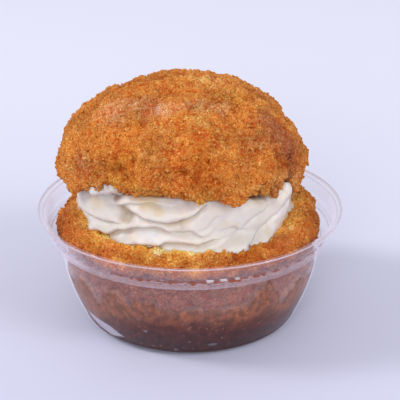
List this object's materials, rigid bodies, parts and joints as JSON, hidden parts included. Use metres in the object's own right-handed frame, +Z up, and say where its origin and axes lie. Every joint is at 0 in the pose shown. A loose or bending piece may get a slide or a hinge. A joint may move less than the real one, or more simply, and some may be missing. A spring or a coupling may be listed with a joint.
{
  "type": "rum baba in a clear cup",
  "caption": "Round soaked sponge cake cut across, with piped cream between the halves, standing in syrup in a clear tapered plastic cup.",
  "frame": {"origin": "centre of the cup's flat underside", "axes": "+Z up along the cup's axis, -Y towards the open side where the cream shows, +X to the right seen from there"},
  "size_m": [0.1, 0.1, 0.0831],
  "materials": {
    "clear_plastic": "thin clear plastic, glossy",
    "rum_syrup": "dark brown liquid with a wet gloss",
    "crust": "golden brown sponge crust, grainy and slightly moist",
    "whipped_cream": "smooth ivory cream with a soft sheen"
  },
  "bodies": {
    "root": {"cup": "clear_plastic", "syrup": "rum_syrup", "lower_half": "crust", "cream": "whipped_cream", "cap": "crust"}
  },
  "joints": []
}
